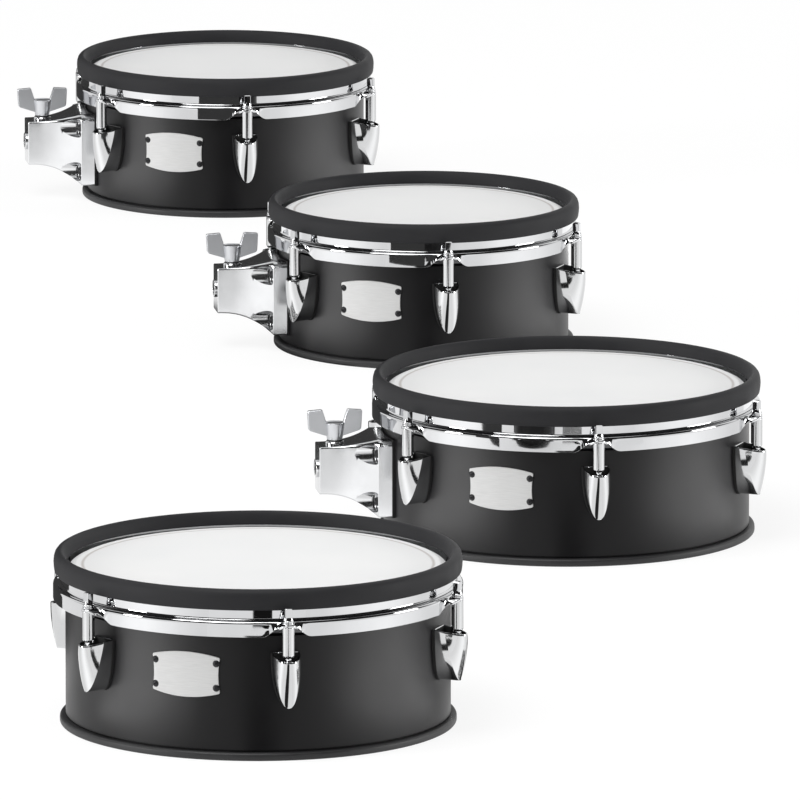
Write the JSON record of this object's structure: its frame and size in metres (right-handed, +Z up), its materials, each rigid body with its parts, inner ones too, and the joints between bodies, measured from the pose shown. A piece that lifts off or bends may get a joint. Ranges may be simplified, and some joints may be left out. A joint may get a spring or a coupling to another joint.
{
  "type": "electronic drum pads",
  "caption": "Electronic drum kit pads: chromed hoops with rubber rim covers, white mesh heads, satin black shells with cast lugs, tension rods, and clamp brackets on the toms.",
  "frame": {"origin": "middle of the footprint of all four pads, at the height of the surface they stand on", "axes": "+Z up, out of the heads; -Y towards the viewer of the picture, with the snare nearest; -X the side of the toms' brackets; the row of pads runs along Y"},
  "size_m": [0.703, 2.7125, 0.1412],
  "materials": {
    "shell_black": "satin black lacquer; the cast lugs fused to it are chromed",
    "ring_black": "black moulded ring",
    "cover_rubber": "matt dark grey rubber",
    "chrome": "bright chrome on pressed steel",
    "rod_chrome": "bright chrome on steel rod",
    "cast_chrome": "chrome on a zinc casting",
    "wing_satin": "satin chrome",
    "clamp_steel": "plain steel",
    "mesh_white": "white woven mesh, two plies",
    "gasket_black": "thin black rubber",
    "sensor_grey": "dark grey plastic and foam"
  },
  "bodies": {
    "kit": {"tom_1_shell": "shell_black", "tom_1_bottom_ring": "ring_black", "tom_1_mesh_head": "mesh_white", "tom_1_sensor_unit": "sensor_grey", "tom_1_bracket": "cast_chrome", "tom_1_bracket_gasket": "gasket_black", "tom_2_shell": "shell_black", "tom_2_bottom_ring": "ring_black", "tom_2_mesh_head": "mesh_white", "tom_2_sensor_unit": "sensor_grey", "tom_2_bracket": "cast_chrome", "tom_2_bracket_gasket": "gasket_black", "floor_tom_shell": "shell_black", "floor_tom_bottom_ring": "ring_black", "floor_tom_mesh_head": "mesh_white", "floor_tom_sensor_unit": "sensor_grey", "floor_tom_bracket": "cast_chrome", "floor_tom_bracket_gasket": "gasket_black", "snare_shell": "shell_black", "snare_bottom_ring": "ring_black", "snare_mesh_head": "mesh_white", "snare_sensor_unit": "sensor_grey"},
    "tom_1_hoop_body": {"tom_1_hoop": "chrome", "tom_1_rim_cover": "cover_rubber"},
    "tom_1_rod_1": {"tom_1_tension_rod_1": "rod_chrome"},
    "tom_1_rod_2": {"tom_1_tension_rod_2": "rod_chrome"},
    "tom_1_rod_3": {"tom_1_tension_rod_3": "rod_chrome"},
    "tom_1_rod_4": {"tom_1_tension_rod_4": "rod_chrome"},
    "tom_1_rod_5": {"tom_1_tension_rod_5": "rod_chrome"},
    "tom_1_rod_6": {"tom_1_tension_rod_6": "rod_chrome"},
    "tom_1_shoe": {"tom_1_clamp_shoe": "clamp_steel"},
    "tom_1_bolt": {"tom_1_wing_bolt": "wing_satin"},
    "tom_2_hoop_body": {"tom_2_hoop": "chrome", "tom_2_rim_cover": "cover_rubber"},
    "tom_2_rod_1": {"tom_2_tension_rod_1": "rod_chrome"},
    "tom_2_rod_2": {"tom_2_tension_rod_2": "rod_chrome"},
    "tom_2_rod_3": {"tom_2_tension_rod_3": "rod_chrome"},
    "tom_2_rod_4": {"tom_2_tension_rod_4": "rod_chrome"},
    "tom_2_rod_5": {"tom_2_tension_rod_5": "rod_chrome"},
    "tom_2_rod_6": {"tom_2_tension_rod_6": "rod_chrome"},
    "tom_2_shoe": {"tom_2_clamp_shoe": "clamp_steel"},
    "tom_2_bolt": {"tom_2_wing_bolt": "wing_satin"},
    "floor_tom_hoop_body": {"floor_tom_hoop": "chrome", "floor_tom_rim_cover": "cover_rubber"},
    "floor_tom_rod_1": {"floor_tom_tension_rod_1": "rod_chrome"},
    "floor_tom_rod_2": {"floor_tom_tension_rod_2": "rod_chrome"},
    "floor_tom_rod_3": {"floor_tom_tension_rod_3": "rod_chrome"},
    "floor_tom_rod_4": {"floor_tom_tension_rod_4": "rod_chrome"},
    "floor_tom_rod_5": {"floor_tom_tension_rod_5": "rod_chrome"},
    "floor_tom_rod_6": {"floor_tom_tension_rod_6": "rod_chrome"},
    "floor_tom_shoe": {"floor_tom_clamp_shoe": "clamp_steel"},
    "floor_tom_bolt": {"floor_tom_wing_bolt": "wing_satin"},
    "snare_hoop_body": {"snare_hoop": "chrome", "snare_rim_cover": "cover_rubber"},
    "snare_rod_1": {"snare_tension_rod_1": "rod_chrome"},
    "snare_rod_2": {"snare_tension_rod_2": "rod_chrome"},
    "snare_rod_3": {"snare_tension_rod_3": "rod_chrome"},
    "snare_rod_4": {"snare_tension_rod_4": "rod_chrome"},
    "snare_rod_5": {"snare_tension_rod_5": "rod_chrome"},
    "snare_rod_6": {"snare_tension_rod_6": "rod_chrome"}
  },
  "joints": [
    {"name": "tom_1_hoop_slide", "type": "slide", "parent": "kit", "child": "tom_1_hoop_body", "axis": [0, 0, 1], "range_m": [-0.0021, 0.0055], "deforming": ["tom_1_mesh_head"]},
    {"name": "tom_1_rod_1_turn", "type": "hinge", "parent": "tom_1_hoop_body", "child": "tom_1_rod_1", "pos_m": [0.119, 1.05175, 0.1063], "axis": [0, 0, 1], "range_deg": [-715, 1872]},
    {"name": "tom_1_rod_2_turn", "type": "hinge", "parent": "tom_1_hoop_body", "child": "tom_1_rod_2", "pos_m": [0.24717, 1.12575, 0.1063], "axis": [0, 0, 1], "range_deg": [-715, 1872]},
    {"name": "tom_1_rod_3_turn", "type": "hinge", "parent": "tom_1_hoop_body", "child": "tom_1_rod_3", "pos_m": [0.24717, 1.27375, 0.1063], "axis": [0, 0, 1], "range_deg": [-715, 1872]},
    {"name": "tom_1_rod_4_turn", "type": "hinge", "parent": "tom_1_hoop_body", "child": "tom_1_rod_4", "pos_m": [0.119, 1.34775, 0.1063], "axis": [0, 0, 1], "range_deg": [-715, 1872]},
    {"name": "tom_1_rod_5_turn", "type": "hinge", "parent": "tom_1_hoop_body", "child": "tom_1_rod_5", "pos_m": [-0.00917, 1.27375, 0.1063], "axis": [0, 0, 1], "range_deg": [-715, 1872]},
    {"name": "tom_1_rod_6_turn", "type": "hinge", "parent": "tom_1_hoop_body", "child": "tom_1_rod_6", "pos_m": [-0.00917, 1.12575, 0.1063], "axis": [0, 0, 1], "range_deg": [-715, 1872]},
    {"name": "tom_1_shoe_slide", "type": "slide", "parent": "kit", "child": "tom_1_shoe", "axis": [0, 0, 1], "range_m": [0, 0.00375]},
    {"name": "tom_1_wing_bolt_turn", "type": "hinge", "parent": "tom_1_shoe", "child": "tom_1_bolt", "pos_m": [-0.056, 1.19975, 0.0792], "axis": [0, 0, 1], "range_deg": [0, 1080]},
    {"name": "tom_2_hoop_slide", "type": "slide", "parent": "kit", "child": "tom_2_hoop_body", "axis": [0, 0, 1], "range_m": [-0.0021, 0.0055], "deforming": ["tom_2_mesh_head"]},
    {"name": "tom_2_rod_1_turn", "type": "hinge", "parent": "tom_2_hoop_body", "child": "tom_2_rod_1", "pos_m": [0.192, 0.27675, 0.1063], "axis": [0, 0, 1], "range_deg": [-715, 1872]},
    {"name": "tom_2_rod_2_turn", "type": "hinge", "parent": "tom_2_hoop_body", "child": "tom_2_rod_2", "pos_m": [0.32017, 0.35075, 0.1063], "axis": [0, 0, 1], "range_deg": [-715, 1872]},
    {"name": "tom_2_rod_3_turn", "type": "hinge", "parent": "tom_2_hoop_body", "child": "tom_2_rod_3", "pos_m": [0.32017, 0.49875, 0.1063], "axis": [0, 0, 1], "range_deg": [-715, 1872]},
    {"name": "tom_2_rod_4_turn", "type": "hinge", "parent": "tom_2_hoop_body", "child": "tom_2_rod_4", "pos_m": [0.192, 0.57275, 0.1063], "axis": [0, 0, 1], "range_deg": [-715, 1872]},
    {"name": "tom_2_rod_5_turn", "type": "hinge", "parent": "tom_2_hoop_body", "child": "tom_2_rod_5", "pos_m": [0.06383, 0.49875, 0.1063], "axis": [0, 0, 1], "range_deg": [-715, 1872]},
    {"name": "tom_2_rod_6_turn", "type": "hinge", "parent": "tom_2_hoop_body", "child": "tom_2_rod_6", "pos_m": [0.06383, 0.35075, 0.1063], "axis": [0, 0, 1], "range_deg": [-715, 1872]},
    {"name": "tom_2_shoe_slide", "type": "slide", "parent": "kit", "child": "tom_2_shoe", "axis": [0, 0, 1], "range_m": [0, 0.00375]},
    {"name": "tom_2_wing_bolt_turn", "type": "hinge", "parent": "tom_2_shoe", "child": "tom_2_bolt", "pos_m": [0.017, 0.42475, 0.0792], "axis": [0, 0, 1], "range_deg": [0, 1080]},
    {"name": "floor_tom_hoop_slide", "type": "slide", "parent": "kit", "child": "floor_tom_hoop_body", "axis": [0, 0, 1], "range_m": [-0.0021, 0.0055], "deforming": ["floor_tom_mesh_head"]},
    {"name": "floor_tom_rod_1_turn", "type": "hinge", "parent": "floor_tom_hoop_body", "child": "floor_tom_rod_1", "pos_m": [0.185, -0.61475, 0.1118], "axis": [0, 0, 1], "range_deg": [-715, 1872]},
    {"name": "floor_tom_rod_2_turn", "type": "hinge", "parent": "floor_tom_hoop_body", "child": "floor_tom_rod_2", "pos_m": [0.33526, -0.528, 0.1118], "axis": [0, 0, 1], "range_deg": [-715, 1872]},
    {"name": "floor_tom_rod_3_turn", "type": "hinge", "parent": "floor_tom_hoop_body", "child": "floor_tom_rod_3", "pos_m": [0.33526, -0.3545, 0.1118], "axis": [0, 0, 1], "range_deg": [-715, 1872]},
    {"name": "floor_tom_rod_4_turn", "type": "hinge", "parent": "floor_tom_hoop_body", "child": "floor_tom_rod_4", "pos_m": [0.185, -0.26775, 0.1118], "axis": [0, 0, 1], "range_deg": [-715, 1872]},
    {"name": "floor_tom_rod_5_turn", "type": "hinge", "parent": "floor_tom_hoop_body", "child": "floor_tom_rod_5", "pos_m": [0.03474, -0.3545, 0.1118], "axis": [0, 0, 1], "range_deg": [-715, 1872]},
    {"name": "floor_tom_rod_6_turn", "type": "hinge", "parent": "floor_tom_hoop_body", "child": "floor_tom_rod_6", "pos_m": [0.03474, -0.528, 0.1118], "axis": [0, 0, 1], "range_deg": [-715, 1872]},
    {"name": "floor_tom_shoe_slide", "type": "slide", "parent": "kit", "child": "floor_tom_shoe", "axis": [0, 0, 1], "range_m": [0, 0.00375]},
    {"name": "floor_tom_wing_bolt_turn", "type": "hinge", "parent": "floor_tom_shoe", "child": "floor_tom_bolt", "pos_m": [-0.0155, -0.44125, 0.0847], "axis": [0, 0, 1], "range_deg": [0, 1080]},
    {"name": "snare_hoop_slide", "type": "slide", "parent": "kit", "child": "snare_hoop_body", "axis": [0, 0, 1], "range_m": [-0.0021, 0.0055], "deforming": ["snare_mesh_head"]},
    {"name": "snare_rod_1_turn", "type": "hinge", "parent": "snare_hoop_body", "child": "snare_rod_1", "pos_m": [-0.185, -1.34775, 0.1145], "axis": [0, 0, 1], "range_deg": [-715, 1872]},
    {"name": "snare_rod_2_turn", "type": "hinge", "parent": "snare_hoop_body", "child": "snare_rod_2", "pos_m": [-0.03474, -1.261, 0.1145], "axis": [0, 0, 1], "range_deg": [-715, 1872]},
    {"name": "snare_rod_3_turn", "type": "hinge", "parent": "snare_hoop_body", "child": "snare_rod_3", "pos_m": [-0.03474, -1.0875, 0.1145], "axis": [0, 0, 1], "range_deg": [-715, 1872]},
    {"name": "snare_rod_4_turn", "type": "hinge", "parent": "snare_hoop_body", "child": "snare_rod_4", "pos_m": [-0.185, -1.00075, 0.1145], "axis": [0, 0, 1], "range_deg": [-715, 1872]},
    {"name": "snare_rod_5_turn", "type": "hinge", "parent": "snare_hoop_body", "child": "snare_rod_5", "pos_m": [-0.33526, -1.0875, 0.1145], "axis": [0, 0, 1], "range_deg": [-715, 1872]},
    {"name": "snare_rod_6_turn", "type": "hinge", "parent": "snare_hoop_body", "child": "snare_rod_6", "pos_m": [-0.33526, -1.261, 0.1145], "axis": [0, 0, 1], "range_deg": [-715, 1872]}
  ],
  "couplings": [
    {"joint": "tom_1_rod_1_turn", "follows": "tom_1_hoop_slide", "rad_per_m": 5938.7},
    {"joint": "tom_1_rod_2_turn", "follows": "tom_1_hoop_slide", "rad_per_m": 5938.7},
    {"joint": "tom_1_rod_3_turn", "follows": "tom_1_hoop_slide", "rad_per_m": 5938.7},
    {"joint": "tom_1_rod_4_turn", "follows": "tom_1_hoop_slide", "rad_per_m": 5938.7},
    {"joint": "tom_1_rod_5_turn", "follows": "tom_1_hoop_slide", "rad_per_m": 5938.7},
    {"joint": "tom_1_rod_6_turn", "follows": "tom_1_hoop_slide", "rad_per_m": 5938.7},
    {"joint": "tom_1_shoe_slide", "follows": "tom_1_wing_bolt_turn", "m_per_rad": 0.00019894},
    {"joint": "tom_2_rod_1_turn", "follows": "tom_2_hoop_slide", "rad_per_m": 5938.7},
    {"joint": "tom_2_rod_2_turn", "follows": "tom_2_hoop_slide", "rad_per_m": 5938.7},
    {"joint": "tom_2_rod_3_turn", "follows": "tom_2_hoop_slide", "rad_per_m": 5938.7},
    {"joint": "tom_2_rod_4_turn", "follows": "tom_2_hoop_slide", "rad_per_m": 5938.7},
    {"joint": "tom_2_rod_5_turn", "follows": "tom_2_hoop_slide", "rad_per_m": 5938.7},
    {"joint": "tom_2_rod_6_turn", "follows": "tom_2_hoop_slide", "rad_per_m": 5938.7},
    {"joint": "tom_2_shoe_slide", "follows": "tom_2_wing_bolt_turn", "m_per_rad": 0.00019894},
    {"joint": "floor_tom_rod_1_turn", "follows": "floor_tom_hoop_slide", "rad_per_m": 5938.7},
    {"joint": "floor_tom_rod_2_turn", "follows": "floor_tom_hoop_slide", "rad_per_m": 5938.7},
    {"joint": "floor_tom_rod_3_turn", "follows": "floor_tom_hoop_slide", "rad_per_m": 5938.7},
    {"joint": "floor_tom_rod_4_turn", "follows": "floor_tom_hoop_slide", "rad_per_m": 5938.7},
    {"joint": "floor_tom_rod_5_turn", "follows": "floor_tom_hoop_slide", "rad_per_m": 5938.7},
    {"joint": "floor_tom_rod_6_turn", "follows": "floor_tom_hoop_slide", "rad_per_m": 5938.7},
    {"joint": "floor_tom_shoe_slide", "follows": "floor_tom_wing_bolt_turn", "m_per_rad": 0.00019894},
    {"joint": "snare_rod_1_turn", "follows": "snare_hoop_slide", "rad_per_m": 5938.7},
    {"joint": "snare_rod_2_turn", "follows": "snare_hoop_slide", "rad_per_m": 5938.7},
    {"joint": "snare_rod_3_turn", "follows": "snare_hoop_slide", "rad_per_m": 5938.7},
    {"joint": "snare_rod_4_turn", "follows": "snare_hoop_slide", "rad_per_m": 5938.7},
    {"joint": "snare_rod_5_turn", "follows": "snare_hoop_slide", "rad_per_m": 5938.7},
    {"joint": "snare_rod_6_turn", "follows": "snare_hoop_slide", "rad_per_m": 5938.7}
  ]
}
